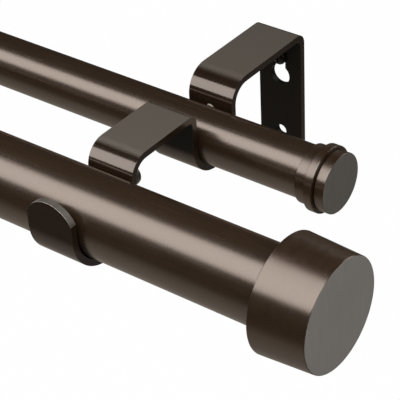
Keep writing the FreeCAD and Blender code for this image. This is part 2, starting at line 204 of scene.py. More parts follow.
def pick(obj, wanted):
    """Select only the vertices whose place passes a test."""
    bpy.ops.mesh.select_all(action="DESELECT")
    shape = bmesh.from_edit_mesh(obj.data)
    for vertex in shape.verts:
        vertex.select = wanted(vertex.co)
    shape.select_flush(True)
    bmesh.update_edit_mesh(obj.data)


def near(a, b):
    return abs(a - b) < SAME_PLACE


def apply_modifier(obj, kind, **settings):
    bpy.context.view_layer.objects.active = obj
    modifier = obj.modifiers.new(kind.lower(), kind)
    for name, value in settings.items():
        setattr(modifier, name, value)
    bpy.ops.object.modifier_apply(modifier=modifier.name)


def cut(obj, cutter):
    """Take the cutter's shape out of a piece."""
    bpy.ops.object.select_all(action="DESELECT")
    apply_modifier(obj, "BOOLEAN", operation="DIFFERENCE", object=cutter, solver="EXACT")
    bpy.data.objects.remove(cutter)


def round_cutter(place, radius, depth):
    """Round bar along Y for cutting holes."""
    start_fresh()
    bpy.ops.mesh.primitive_cylinder_add(vertices=CUTTER_SIDES, radius=radius, depth=depth,
                                        location=place, rotation=(pi / 2, 0, 0))
    return bpy.context.object


def box_cutter(place, size):
    start_fresh()
    bpy.ops.mesh.primitive_cube_add(size=1, location=place)
    cutter = bpy.context.object
    cutter.scale = size
    bpy.ops.object.transform_apply(location=False, rotation=False, scale=True)
    return cutter


def soften(obj, width):
    """Round the sharp edges and shade the piece smooth, with its flats kept flat."""
    start_fresh()
    obj.select_set(True)
    bpy.context.view_layer.objects.active = obj
    apply_modifier(obj, "BEVEL", width=width, segments=3, limit_method="ANGLE",
                   angle_limit=radians(34), use_clamp_overlap=True)
    bpy.ops.object.shade_smooth_by_angle(angle=radians(40))
    apply_modifier(obj, "WEIGHTED_NORMAL", keep_sharp=True, weight=60)


def turned(name, rings, place, turn=0.0, rounding=None, sides=None):
    """A turned piece. Rings are (place along the axis, radius); a circle is extruded from ring to
    ring. Where the last ring repeats the first the section is closed, otherwise both ends are."""
    start_fresh()
    along, radius = rings[0]
    closed = rings[0] == rings[-1]
    bpy.ops.mesh.primitive_circle_add(vertices=sides or sizes().sides, radius=radius,
                                      fill_type="NOTHING" if closed else "NGON",
                                      location=(0, 0, 0), rotation=(0, pi / 2, 0))
    obj = bpy.context.object
    obj.name = name
    bpy.ops.object.transform_apply(location=True, rotation=True, scale=True)
    bpy.ops.object.mode_set(mode="EDIT")
    bpy.ops.mesh.select_mode(type="VERT")
    bpy.ops.mesh.select_all(action="SELECT")
    bpy.ops.transform.translate(value=(along, 0, 0))
    for next_along, next_radius in rings[1:]:
        step = (next_along - along, 0, 0)
        bpy.ops.mesh.extrude_edges_move(TRANSFORM_OT_translate={"value": step})
        share = next_radius / radius
        bpy.ops.transform.resize(value=(1, share, share), center_override=(next_along, 0, 0))
        along, radius = next_along, next_radius
    if not closed:
        bpy.ops.mesh.edge_face_add()
    bpy.ops.mesh.select_all(action="SELECT")
    bpy.ops.mesh.remove_doubles(threshold=SAME_VERTEX)
    bpy.ops.mesh.normals_make_consistent(inside=False)
    bpy.ops.object.mode_set(mode="OBJECT")
    obj.location = place
    obj.rotation_euler = (0, 0, radians(turn))
    bpy.ops.object.transform_apply(location=True, rotation=True, scale=True)
    if rounding is None:
        rounding = sizes().edge_round
    if rounding:
        soften(obj, rounding)
    return obj


def settle(obj, node, body, slot, *materials):
    """The finished piece stands for its CAD node, rides on its body and takes its materials."""
    for material in materials:
        obj.data.materials.append(material)
    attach(obj, body)
    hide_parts(node)


def give_faces(obj, material, wanted):
    """Give one of the piece's materials to the faces that pass a test."""
    index = obj.data.materials.find(material.name)
    for face in obj.data.polygons:
        if wanted(face.normal, face.center):
            face.material_index = index


# Materials

# Fineness of the brush lines along X, Y and Z
ALONG_POLE = (60.0, 1500.0, 1500.0)
ROUND_CAP = (900.0, 300.0, 300.0)
ACROSS_STRIP = (60.0, 1400.0, 1400.0)
CAP_FACE_LINES = (900.0, 900.0, 40.0)
MOULDED = (700.0, 700.0, 700.0)

# Ranges of a noise, a bend or a direction that become masks from 0 to 1
CRISP_LINES = (0.3, 0.7)
SOFT_CLOUDS = (0.25, 0.75)
RAISED_EDGES = (0.52, 0.60)
OFF_THE_TOP = (0.995, 0.75)
ROOM_SIDE = (0.0, -0.1)
# Faces that point up, which take the painted top sheen
FLAT_TOP = (0.87, 0.995)

CLOUD_SCALE = 40.0
RUB_SCALE = 220.0
BRUSH_DEPTH = 0.05 * MM
FLAT_TOP_ROUGHNESS = 0.5
LACQUER_TINT = (1.0, 0.96, 0.92, 1)


def add_node(tree, kind, x, y, inputs=None, **settings):
    """Node with its settings. An input whose source is a socket is linked, any other is set."""
    node = tree.nodes.new(kind)
    node.location = (x, y)
    for name, value in settings.items():
        setattr(node, name, value)
    for key, source in (inputs or {}).items():
        if isinstance(source, NodeSocket):
            tree.links.new(source, node.inputs[key])
        else:
            node.inputs[key].default_value = source
    return node


def maths(tree, operation, x, y, first, second, **settings):
    node = add_node(tree, "ShaderNodeMath", x, y, {0: first, 1: second}, operation=operation,
                    **settings)
    return node.outputs[0]


def ramp(tree, x, y, value, start, end, **settings):
    """Value as 0 to 1 where it goes from start to end."""
    node = add_node(tree, "ShaderNodeMapRange", x, y,
                    {"Value": value, "From Min": start, "From Max": end}, **settings)
    return node.outputs["Result"]


def mix(tree, x, y, share, first, second, kind="RGBA", **settings):
    node = add_node(tree, "ShaderNodeMix", x, y, data_type=kind, **settings,
                    inputs={"Factor": share, "A": first, "B": second})
    return node.outputs["Result"]


def tinted(colour, strength):
    """Colour made lighter or darker, with its alpha."""
    return (*[min(channel * strength, 1.0) for channel in colour], 1)


def new_group(name, inputs, outputs):
    """Node group and what its input node gives. Each named socket comes with its kind."""
    tree = bpy.data.node_groups.new(name, "ShaderNodeTree")
    for way, sockets in (("INPUT", inputs), ("OUTPUT", outputs)):
        for socket, kind in sockets.items():
            tree.interface.new_socket(socket, in_out=way, socket_type="NodeSocket" + kind)
    return tree, add_node(tree, "NodeGroupInput", -1000, 0).outputs


def new_material(name):
    """Material with an empty node tree."""
    material = bpy.data.materials.new(name)
    material.use_nodes = True
    material.node_tree.nodes.clear()
    return material, material.node_tree


def brushed_grain():
    """Node group: fine brush lines, and the soft cloudiness of a satin lacquer."""
    if "Brushed grain" in bpy.data.node_groups:
        return bpy.data.node_groups["Brushed grain"]
    tree, given = new_group("Brushed grain", {"Vector": "Vector", "Line stretch": "Vector"},
                            {"Lines": "Float", "Clouds": "Float"})
    stretch = add_node(tree, "ShaderNodeVectorMath", -600, 100, operation="MULTIPLY",
                       inputs={0: given["Vector"], 1: given["Line stretch"]})
    lines = add_node(tree, "ShaderNodeTexNoise", -400, 100,
                     {"Vector": stretch.outputs[0], "Scale": 1.0, "Detail": 3.0, "Roughness": 0.65})
    clouds = add_node(tree, "ShaderNodeTexNoise", -400, -200,
                      {"Vector": given["Vector"], "Scale": CLOUD_SCALE, "Detail": 3.0})
    add_node(tree, "NodeGroupOutput", 0, 0,
             {"Lines": ramp(tree, -200, 100, lines.outputs["Fac"], *CRISP_LINES),
              "Clouds": ramp(tree, -200, -200, clouds.outputs["Fac"], *SOFT_CLOUDS)})
    return tree


def edge_wear():
    """Node group: mask of the raised edges, broken up a little."""
    if "Edge wear" in bpy.data.node_groups:
        return bpy.data.node_groups["Edge wear"]
    tree, given = new_group("Edge wear", {"Vector": "Vector", "Amount": "Float"},
                            {"Edge": "Float"})
    shape = add_node(tree, "ShaderNodeNewGeometry", -800, 200)
    raised = ramp(tree, -500, 200, shape.outputs["Pointiness"], *RAISED_EDGES)
    rub = add_node(tree, "ShaderNodeTexNoise", -500, -100,
                   {"Vector": given["Vector"], "Scale": RUB_SCALE})
    broken = maths(tree, "MULTIPLY", -300, 100, raised, rub.outputs["Fac"])
    edge = maths(tree, "MULTIPLY", -100, 100, broken, given["Amount"], use_clamp=True)
    add_node(tree, "NodeGroupOutput", 100, 0, {"Edge": edge})
    return tree


def leaning_sheen():
    """Node group: leans the room side's reflections up, as lacquer pooled on the bends does. It
    sets in where the height of the surface's direction goes from None below to Full above."""
    if "Leaning sheen" in bpy.data.node_groups:
        return bpy.data.node_groups["Leaning sheen"]
    tree, given = new_group("Leaning sheen", {"Facing": "Vector", "Lean": "Float",
                                              "None below": "Float", "Full above": "Float"},
                            {"Normal": "Vector"})
    split = add_node(tree, "ShaderNodeSeparateXYZ", -800, 0, {0: given["Facing"]}).outputs
    smooth = {"interpolation_type": "SMOOTHSTEP"}
    above = ramp(tree, -600, 200, split["Z"], *OFF_THE_TOP, **smooth)
    below = ramp(tree, -600, -50, split["Z"], given["None below"], given["Full above"], **smooth)
    room = ramp(tree, -600, -300, split["Y"], *ROOM_SIDE, **smooth)
    bent = maths(tree, "MULTIPLY", -400, 100, above, below)
    facing = maths(tree, "MULTIPLY", -250, 0, bent, room)
    angle = maths(tree, "MULTIPLY", -100, 0, facing, given["Lean"])
    turn = add_node(tree, "ShaderNodeVectorRotate", 100, 0, rotation_type="X_AXIS",
                    inputs={"Vector": given["Facing"], "Angle": angle})
    add_node(tree, "NodeGroupOutput", 300, 0, {"Normal": turn.outputs["Vector"]})
    return tree


def finish_material(name, colour, stretch, roughness, metallic, ior, line_colour=0.12,
                    line_rough=0.08, bump=0.06, wear=0.3, wear_colour=2.2, cloud=0.08, spread=0.0,
                    spread_turn=0.0, top_sheen=None, lean=0.0, lean_from=(-0.9, -0.2)):
    """A brushed or moulded surface. Stretch gives the brush lines' fineness along X, Y and Z, and
    spread how much more the lines scatter a reflection across them, turned by spread_turn turns.
    Lean is the leaning sheen's angle, and lean_from its None below and Full above."""
    if name in bpy.data.materials:
        return bpy.data.materials[name]
    material, tree = new_material(name)
    place = add_node(tree, "ShaderNodeTexCoord", -1200, 0).outputs
    grain = add_node(tree, "ShaderNodeGroup", -900, 100, node_tree=brushed_grain(),
                     inputs={"Vector": place["Object"], "Line stretch": stretch}).outputs
    worn = add_node(tree, "ShaderNodeGroup", -900, -200, node_tree=edge_wear(),
                    inputs={"Vector": place["Object"], "Amount": wear}).outputs

    lined = mix(tree, -600, 300, grain["Lines"], tinted(colour, 1 - line_colour),
                tinted(colour, 1 + line_colour))
    clouded = mix(tree, -400, 300, grain["Clouds"], lined, tinted((1, 1, 1), 1 - cloud),
                  blend_type="MULTIPLY")
    surface = mix(tree, -200, 300, worn["Edge"], clouded, tinted(colour, wear_colour))
    rough = add_node(tree, "ShaderNodeMapRange", -400, 0,
                     {"Value": grain["Lines"], "To Min": roughness - line_rough / 2,
                      "To Max": roughness + line_rough / 2}).outputs["Result"]
    relief = add_node(tree, "ShaderNodeBump", -400, -300,
                      {"Strength": bump, "Distance": BRUSH_DEPTH, "Height": grain["Lines"]})
    if lean:
        leaning = add_node(tree, "ShaderNodeGroup", -700, -400, node_tree=leaning_sheen(),
                           inputs={"Facing": place["Normal"], "Lean": -lean,
                                   "None below": lean_from[0], "Full above": lean_from[1]})
        tree.links.new(leaning.outputs["Normal"], relief.inputs["Normal"])
    # Painted sheen: faces that point up are lightened towards the top sheen colour, as light falls
    # on flat tops
    if top_sheen is not None:
        upward = add_node(tree, "ShaderNodeSeparateXYZ", -600, 600, {0: place["Normal"]})
        flat = ramp(tree, -400, 600, upward.outputs["Z"], *FLAT_TOP,
                    interpolation_type="SMOOTHSTEP")
        surface = mix(tree, 0, 500, flat, surface, (*top_sheen, 1))
        rough = mix(tree, 0, 200, flat, rough, FLAT_TOP_ROUGHNESS, kind="FLOAT")

    shader = add_node(tree, "ShaderNodeBsdfPrincipled", 100, 100,
                      {"Base Color": surface, "Metallic": metallic, "Roughness": rough,
                       "IOR": ior, "Specular Tint": LACQUER_TINT,
                       "Normal": relief.outputs["Normal"]})
    if spread:
        shader.inputs["Anisotropic"].default_value = spread
        shader.inputs["Anisotropic Rotation"].default_value = spread_turn
        around = add_node(tree, "ShaderNodeTangent", -200, -300, direction_type="RADIAL", axis="X")
        tree.links.new(around.outputs["Tangent"], shader.inputs["Tangent"])
    add_node(tree, "ShaderNodeOutputMaterial", 400, 100, {"Surface": shader.outputs["BSDF"]})
    return material


def satin_bronze():
    return finish_material("Satin bronze", finish().bronze, ALONG_POLE, roughness=0.26,
                           metallic=0.6, ior=3.0, line_rough=0.04, bump=0.012, cloud=0.12)


def turned_bronze():
    return finish_material("Turned bronze", finish().bronze, ROUND_CAP, roughness=0.32,
                           metallic=0.6, ior=3.0, bump=0.02, spread=0.85, spread_turn=0.25,
                           lean=radians(5.2))


# The strip's lacquer, with a painted sheen lightening its upward flat tops
def strip_bronze():
    return finish_material("Strip bronze", finish().strip, ACROSS_STRIP, roughness=0.13,
                           metallic=0.6, ior=2.55, line_rough=0.05, bump=0.03, wear=0.5,
                           cloud=0.15, top_sheen=finish().flats, lean=radians(12.0),
                           lean_from=(0.15, 0.42))


def tab_bronze():
    return finish_material("Tab bronze", finish().strip, ACROSS_STRIP, roughness=0.13,
                           metallic=0.6, ior=2.55, line_rough=0.05, bump=0.03, wear=0.5,
                           cloud=0.15, lean=radians(12.0))


def cut_edge():
    return finish_material("Cut edge", finish().cut, MOULDED, roughness=0.4, metallic=0.4,
                           ior=1.8, wear=0.4)


# Painted highlight: a bright colour on the tab's front corner, standing in for a glint on its
# rounded edge
def painted_corner_highlight():
    return finish_material("Painted corner highlight", finish().corner, MOULDED, roughness=0.35, metallic=0.4,
                           ior=2.0, wear=0.2)


# Painted shade: near black faces under the bracket's arch and in its holes, where shade falls
def painted_shade_inside():
    return finish_material("Painted shade inside", finish().inside, ACROSS_STRIP, roughness=0.5,
                           metallic=0.2, ior=1.3, wear=0.4)


# Painted light and shade: one brushed end face finish, painted lighter on the front caps and darker
# on the back caps
def front_cap_face():
    return finish_material("Front cap face", finish().front_face, CAP_FACE_LINES, roughness=0.48,
                           metallic=0.2, ior=1.5, line_colour=0.06, wear=0.2)


def back_cap_face():
    return finish_material("Back cap face", finish().back_face, CAP_FACE_LINES, roughness=0.48,
                           metallic=0.2, ior=1.5, line_colour=0.08, wear=0.2)


# The wall screws take the painted shade colour of the bracket's inside faces, as painted shade in
# the keyhole
def dark_screw():
    return finish_material("Dark screw", finish().inside, MOULDED, roughness=0.35, metallic=0.6,
                           ior=1.6, wear=0.6, wear_colour=4.0)


def screw_steel():
    return finish_material("Screw steel", finish().zinc, MOULDED, roughness=0.35, metallic=0.8,
                           ior=2.0, wear=0.5)


def moulded_plastic():
    return finish_material("Moulded plastic", finish().plastic, MOULDED, roughness=0.45,
                           metallic=0.0, ior=1.5, wear=0.2, wear_colour=1.6)


# Brackets

# Heights of the front arch and the tab above the front pole's axis
FRONT_ARCH_RISE = 14.0 * MM
TAB_RISE = 12.3 * MM
TAB_CROWN_START = 5.0 * MM

# Radii of the bends, and how finely they are rounded
WALL_BEND = 4.5 * MM
BACK_BEND = 9.4 * MM
MIDDLE_BEND = 4.0 * MM
FRONT_BEND = 8.3 * MM
BEND_SEGMENTS = 14

# Round ends of the strip
CROWN_RISE = 6.0 * MM
CROWN_CUTS = 15

# How loosely a pole lies in its cradle, and the gap left where it rests
CRADLE_PLAY = 0.4 * MM
SEAT_GAP = 0.1 * MM

# Holes for the wall screws and the lock screws
FIXING_HEIGHT = 16.25 * MM
FIXING_RADIUS = 2.4 * MM
KEYHOLE_TRAVEL = 7.6 * MM
KEYHOLE_ENTRY_RADIUS = 4.2 * MM
LOCK_HOLE_RADIUS = 2.05 * MM
LOCK_CUTTER_LENGTH = 14 * MM
LOCK_CUTTER_SHIFT = 3 * MM


def folded_strip(name, centre_x, corners):
    """The bracket's strip on its pole side. Corners are (y, z, bend radius). The wall plate comes
    first, then each run is extruded, the bends are rounded and both ends crowned."""
    start_fresh()
    (start_y, start_z, _), (here_y, here_z, _) = corners[:2]
    bpy.ops.mesh.primitive_plane_add(size=1, rotation=(-pi / 2, 0, 0),
                                     location=(centre_x, start_y, (start_z + here_z) / 2))
    obj = bpy.context.object
    obj.name = name
    obj.scale = (sizes().strip_width, here_z - start_z, 1)
    bpy.ops.object.transform_apply(location=True, rotation=True, scale=True)
    bpy.ops.object.mode_set(mode="EDIT")
    bpy.ops.mesh.select_mode(type="VERT")
    pick(obj, lambda place: near(place.z, here_z))
    for next_y, next_z, _ in corners[2:]:
        step = (0, next_y - here_y, next_z - here_z)
        bpy.ops.mesh.extrude_edges_move(TRANSFORM_OT_translate={"value": step})
        here_y, here_z = next_y, next_z
    for fold_y, fold_z, radius in corners[1:-1]:
        pick(obj, lambda place: near(place.y, fold_y) and near(place.z, fold_z))
        bpy.ops.mesh.bevel(offset_type="OFFSET", offset=radius, segments=BEND_SEGMENTS,
                           profile=0.5, affect="EDGES", clamp_overlap=False)
    bpy.ops.mesh.select_all(action="SELECT")
    bpy.ops.mesh.remove_doubles(threshold=SAME_PLACE)
    crown(obj, centre_x, corners[-1], 1)
    crown(obj, centre_x, corners[0], -1)
    bpy.ops.mesh.select_all(action="SELECT")
    bpy.ops.mesh.remove_doubles(threshold=SAME_PLACE)
    bpy.ops.object.mode_set(mode="OBJECT")
    return obj


def crown(obj, centre_x, end, way):
    """Round an end of the strip: its last edge is divided, and each point moved to the arc."""
    end_y, end_z, _ = end
    half = sizes().strip_width / 2
    radius = (half * half + CROWN_RISE * CROWN_RISE) / (2 * CROWN_RISE)
    pick(obj, lambda place: near(place.y, end_y) and near(place.z, end_z))
    bpy.ops.mesh.subdivide(number_cuts=CROWN_CUTS)
    for number in range(1, CROWN_CUTS + 1):
        across = -half + number * 2 * half / (CROWN_CUTS + 1)
        height = sqrt(radius * radius - across * across) - (radius - CROWN_RISE)
        pick(obj, lambda place: near(place.x, centre_x + across) and near(place.y, end_y)
             and near(place.z, end_z))
        bpy.ops.transform.translate(value=(0, 0, way * height))


def bracket_corners():
    """Corners of the strip's pole side, from the wall plate to the tab, as (y, z, bend radius).
    The front pole rests 45 degrees behind its cradle's bottom, the back one 30 degrees in front
    of its own."""
    low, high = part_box("right_bracket")
    front_cradle = sizes().front_diameter / 2 + CRADLE_PLAY
    back_cradle = sizes().back_diameter / 2 + CRADLE_PLAY
    rest_offset = CRADLE_PLAY - SEAT_GAP
    tab_y = low.y + sizes().strip_thickness
    front_leg = tab_y + 2 * front_cradle
    back_leg = BACK_AXIS.y + back_cradle + rest_offset / 2
    riser = back_leg - 2 * back_cradle
    front_bottom = FRONT_AXIS.z + rest_offset * sqrt(0.5) - front_cradle
    back_bottom = BACK_AXIS.z + rest_offset * sqrt(0.75) - back_cradle
    front_top = FRONT_AXIS.z + FRONT_ARCH_RISE
    tab_tip = FRONT_AXIS.z + TAB_RISE
    return [
        (0.0, low.z + CROWN_RISE, 0.0),
        (0.0, high.z, WALL_BEND),
        (back_leg, high.z, BACK_BEND),
        (back_leg, back_bottom, back_cradle),
        (riser, back_bottom, back_cradle),
        (riser, front_top, MIDDLE_BEND),
        (front_leg, front_top, FRONT_BEND),
        (front_leg, front_bottom, front_cradle),
        (tab_y, front_bottom, front_cradle),
        (tab_y, tab_tip - CROWN_RISE, 0.0),
    ]


def build_bracket(side, centre_x):
    """One bracket: folded, given its thickness, drilled, and its edges rounded."""
    node = side + "_bracket"
    thickness = sizes().strip_thickness
    obj = folded_strip("bent_strip_" + side, centre_x, bracket_corners())
    apply_modifier(obj, "SOLIDIFY", thickness=thickness, offset=-1.0, use_even_offset=True)
    through = 4 * thickness
    entry_z = FIXING_HEIGHT - KEYHOLE_TRAVEL
    cut(obj, round_cutter((centre_x, 0, entry_z), KEYHOLE_ENTRY_RADIUS, through))
    cut(obj, box_cutter((centre_x, 0, (FIXING_HEIGHT + entry_z) / 2),
                        (2 * FIXING_RADIUS, through, FIXING_HEIGHT - entry_z)))
    for height in (FIXING_HEIGHT, -FIXING_HEIGHT):
        cut(obj, round_cutter((centre_x, 0, height), FIXING_RADIUS, through))
    for pole in ("front", "back"):
        screw = middle("%s_%s_lock_screw" % (pole, side))
        cut(obj, round_cutter((centre_x, screw.y - LOCK_CUTTER_SHIFT, screw.z),
                              LOCK_HOLE_RADIUS, LOCK_CUTTER_LENGTH))
    soften(obj, sizes().strip_arris)
    settle(obj, node, "root", "bracket", strip_bronze(), cut_edge(), painted_shade_inside(), painted_corner_highlight(),
           tab_bronze())
    dress_bracket(obj, node, centre_x)


def dress_bracket(obj, node, centre_x):
    """Finishes of the strip's parts, with painted shade and a painted highlight. A later one covers
    an earlier one.
    """
    low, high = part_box(node)
    thickness = sizes().strip_thickness
    riser = BACK_AXIS.y - sizes().back_diameter / 2
    beside_riser = 2 * thickness
    crown_z = FRONT_AXIS.z + TAB_CROWN_START
    corner_depth = 0.2 * thickness
    plate_depth = 1.2 * thickness

    def faces_room(normal):
        return normal.y < -0.9

    def on_crown(normal, place):
        return place.z > crown_z and abs(normal.y) < 0.95 and normal.z > 0.1

    def in_plate_hole(normal, place):
        return (abs(normal.y) < 0.8 and place.y > -thickness
                and abs(place.x - centre_x) < 5 * MM
                and low.z + 4 * MM < place.z < high.z - 6 * MM)

    # The tab with its half of the front cradle, and the hook under the back pole
    give_faces(obj, tab_bronze(), lambda normal, place: place.y < FRONT_AXIS.y)
    give_faces(obj, tab_bronze(), lambda normal, place: place.z < BACK_AXIS.z
               and normal.y < 0.1 and riser - beside_riser < place.y < BACK_AXIS.y)
    # The tab's round end, and the painted highlight along its front corner
    give_faces(obj, cut_edge(), lambda normal, place: on_crown(normal, place)
               and place.y < low.y + thickness)
    give_faces(obj, painted_corner_highlight(), lambda normal, place: on_crown(normal, place)
               and normal.y < -0.25 and place.y < low.y + corner_depth)
    # Painted shade on the wall plate's front, the walls of its holes, and the riser's front
    give_faces(obj, painted_shade_inside(), lambda normal, place: faces_room(normal)
               and place.y > -plate_depth)
    give_faces(obj, painted_shade_inside(), in_plate_hole)
    give_faces(obj, painted_shade_inside(), lambda normal, place: faces_room(normal)
               and abs(place.y - riser) < beside_riser and place.z > BACK_AXIS.z)


# Screws, tubes, caps and sleeves

SCREW_SIDES = 48
TUBE_END_ROUND = 0.15 * MM
RUNNING_GAP = 0.05 * MM
CAP_FACE_DEPTH = 0.25 * MM

# A closed end's middle face reaches to this share of the end's radius
END_MIDDLE = 0.5


def slotted_screw(piece, node, head_y, turn, dome, head_depth, shank, tip, slot, rounding):
    """Screw along Y, from its head to its tip. The dome's rings are (depth in mm, share of the
    head's radius), the tip is (length, end radius) and the slot (width, its cutter's depth)."""
    low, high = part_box(node)
    length = high.y - low.y
    head = (high.z - low.z) / 2
    place = (middle(node).x, head_y, middle(node).z)
    rings = [(depth * MM, head * share) for depth, share in dome]
    rings += [(head_depth, head), (head_depth, shank), (length - tip[0], shank), (length, tip[1])]
    obj = turned(piece, rings, place, turn, rounding=0, sides=SCREW_SIDES)
    cut(obj, box_cutter(place, (*slot, 3 * head)))
    soften(obj, rounding)
    return obj


def build_lock_screw(node):
    """Round headed screw with a driver slot, its tip just short of the pole."""
    shank = 2.0 * MM
    chamfer = 0.4 * MM
    obj = slotted_screw(node.replace("lock_screw", "thumb_screw"), node,
                        head_y=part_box(node)[1].y, turn=-90.0,
                        dome=((0.0, 0.55), (0.25, 0.80), (0.75, 0.96), (1.4, 1.0)),
                        head_depth=3.0 * MM, shank=shank, tip=(chamfer, shank - chamfer),
                        slot=(1.0 * MM, 2.4 * MM), rounding=0.12 * MM)
    settle(obj, node, "root", "lock_screw", screw_steel())


def build_wall_screw(node):
    """Pan headed screw with a driver slot, its shank in the wall."""
    obj = slotted_screw(node.replace("wall_screw", "wall_fixing"), node,
                        head_y=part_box(node)[0].y, turn=90.0,
                        dome=((0.0, 0.45), (0.2, 0.75), (0.6, 0.94), (1.1, 1.0)),
                        head_depth=1.6 * MM, shank=1.7 * MM, tip=(3.0 * MM, 0.15 * MM),
                        slot=(0.7 * MM, 1.2 * MM), rounding=0.08 * MM)
    settle(obj, node, "root", "wall_screw", dark_screw())


def build_tube(node, piece, body, slot, diameter):
    """Drawn tube with softened ends."""
    outside = diameter / 2
    bore = outside - sizes().tube_wall
    length = length_along_x(node)
    obj = turned(piece, [
        (0.0, bore),
        (0.0, outside),
        (length, outside),
        (length, bore),
        (0.0, bore),
    ], (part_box(node)[0].x, middle(node).y, middle(node).z), rounding=TUBE_END_ROUND)
    settle(obj, node, body, slot, satin_bronze())


def turned_cap(node, piece, body, slot, turn, rings, face_material, rounding=None):
    """End cap turned from its end face inwards. The right ones are turned round to face along X."""
    low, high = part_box(node)
    start, way = (high.x, 1) if turn else (low.x, -1)
    obj = turned(piece, rings, (start, middle(node).y, middle(node).z), turn, rounding)
    settle(obj, node, body, slot, turned_bronze(), face_material)
    give_faces(obj, face_material, lambda normal, place: normal.x * way > 0.9
               and abs(place.x - start) < CAP_FACE_DEPTH)


def build_front_cap(node, piece, body, turn):
    """Cup that flares a little from its flat face to its open rim."""
    rim = height_of(node) / 2
    face = rim - 1.1 * MM
    bore = rim - 2.7 * MM
    floor = 2.0 * MM
    length = length_along_x(node)
    turned_cap(node, piece, body, "front_cap", turn, [
        (0.0, face * END_MIDDLE),
        (0.0, face),
        (length, rim),
        (length, bore),
        (floor, bore),
        (floor, bore * END_MIDDLE),
    ], front_cap_face())


def build_back_cap(node, piece, body, turn):
    """Turned cap: disc, narrow groove, ring and collar."""
    ring = height_of(node) / 2
    disc = ring - 1.2 * MM
    groove = ring - 3.2 * MM
    collar = ring - 1.45 * MM
    bore = sizes().back_diameter / 2 + RUNNING_GAP
    disc_end = 3.7 * MM
    groove_end = 4.2 * MM
    floor = 5.1 * MM
    ring_end = 7.4 * MM
    length = length_along_x(node)
    turned_cap(node, piece, body, "back_cap", turn, [
        (0.0, disc * END_MIDDLE),
        (0.0, disc),
        (disc_end, disc),
        (disc_end, groove),
        (groove_end, groove),
        (groove_end, ring),
        (ring_end, ring),
        (ring_end, collar),
        (length, collar),
        (length, bore),
        (floor, bore),
        (floor, bore * END_MIDDLE),
    ], back_cap_face(), rounding=0.3 * MM)


def build_mouth_sleeve(node, piece, diameter, inner_diameter):
    """Guide sleeve whose flange covers the edge of the outer tube."""
    flange = diameter / 2
    flange_end = 1.0 * MM
    barrel = diameter / 2 - sizes().tube_wall - RUNNING_GAP
    bore = inner_diameter / 2 + RUNNING_GAP
    length = length_along_x(node)
    obj = turned(piece, [
        (0.0, bore),
        (0.0, flange),
        (flange_end, flange),
        (flange_end, barrel),
        (length, barrel),
        (length, bore),
        (0.0, bore),
    ], (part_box(node)[0].x, middle(node).y, middle(node).z), rounding=0.25 * MM)
    settle(obj, node, "root", "sleeve", moulded_plastic())


class CURTAIN_POLE_OT_brackets(Operator):
    """Fold both brackets from strip"""
    bl_idname = "curtain_pole.brackets"
    bl_label = "Brackets"

    def execute(self, context):
        build_bracket("right", 0.0)
        build_bracket("left", LEFT_BRACKET_X)
        return {"FINISHED"}


class CURTAIN_POLE_OT_lock_screws(Operator):
    """Turn the four lock screws"""
    bl_idname = "curtain_pole.lock_screws"
    bl_label = "Lock screws"

    def execute(self, context):
        for node in ("front_right_lock_screw", "back_right_lock_screw",
                     "front_left_lock_screw", "back_left_lock_screw"):
            build_lock_screw(node)
        return {"FINISHED"}


class CURTAIN_POLE_OT_wall_screws(Operator):
    """Turn the two wall screws"""
    bl_idname = "curtain_pole.wall_screws"
    bl_label = "Wall screws"

    def execute(self, context):
        build_wall_screw("right_wall_screw")
        build_wall_screw("left_wall_screw")
        return {"FINISHED"}


class CURTAIN_POLE_OT_outer_tubes(Operator):
    """Draw the outer tubes of both poles"""
    bl_idname = "curtain_pole.outer_tubes"
    bl_label = "Outer tubes"

    def execute(self, context):
        build_tube("front_outer_tube", "front_pole", "root", "outer_tube", sizes().front_diameter)
        build_tube("back_outer_tube", "back_pole", "root", "outer_tube", sizes().back_diameter)
        return {"FINISHED"}


class CURTAIN_POLE_OT_inner_tubes(Operator):
    """Draw the inner tubes, which pull out to the left"""
    bl_idname = "curtain_pole.inner_tubes"
    bl_label = "Inner tubes"

    def execute(self, context):
        build_tube("front_inner_tube", "front_rod", "front_rod", "inner_tube",
                   sizes().front_inner_diameter)
        build_tube("back_inner_tube", "back_rod", "back_rod", "inner_tube",
                   sizes().back_inner_diameter)
        return {"FINISHED"}


class CURTAIN_POLE_OT_front_caps(Operator):
    """Turn the cup shaped caps of the front pole"""
    bl_idname = "curtain_pole.front_caps"
    bl_label = "Front end caps"

    def execute(self, context):
        build_front_cap("front_right_end_cap", "front_cup_right", "root", 180.0)
        build_front_cap("front_left_end_cap", "front_cup_left", "front_rod", 0.0)
        return {"FINISHED"}


class CURTAIN_POLE_OT_back_caps(Operator):
    """Turn the grooved caps of the back pole"""
    bl_idname = "curtain_pole.back_caps"
    bl_label = "Back end caps"

    def execute(self, context):
        build_back_cap("back_right_end_cap", "back_knob_right", "root", 180.0)
        build_back_cap("back_left_end_cap", "back_knob_left", "back_rod", 0.0)
        return {"FINISHED"}


class CURTAIN_POLE_OT_mouth_sleeves(Operator):
    """Mould the guide sleeves in the outer tubes' mouths"""
    bl_idname = "curtain_pole.mouth_sleeves"
    bl_label = "Mouth sleeves"

    def execute(self, context):
        build_mouth_sleeve("front_mouth_sleeve", "front_guide_ring",
                           sizes().front_diameter, sizes().front_inner_diameter)
        build_mouth_sleeve("back_mouth_sleeve", "back_guide_ring",
                           sizes().back_diameter, sizes().back_inner_diameter)
        return {"FINISHED"}


class CURTAIN_POLE_OT_hidden_fittings(Operator):
    """Give the fittings inside the poles and caps their plastic"""
    bl_idname = "curtain_pole.hidden_fittings"
    bl_label = "Hidden fittings"

    def execute(self, context):
        for node in ("front_right_cap_adapter", "front_left_cap_adapter", "back_right_cap_plug",
                     "back_left_cap_adapter", "front_guide_bush", "back_guide_bush"):
            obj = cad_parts[node]
            obj.data.materials.clear()
            obj.data.materials.append(moulded_plastic())
        return {"FINISHED"}


# Stage

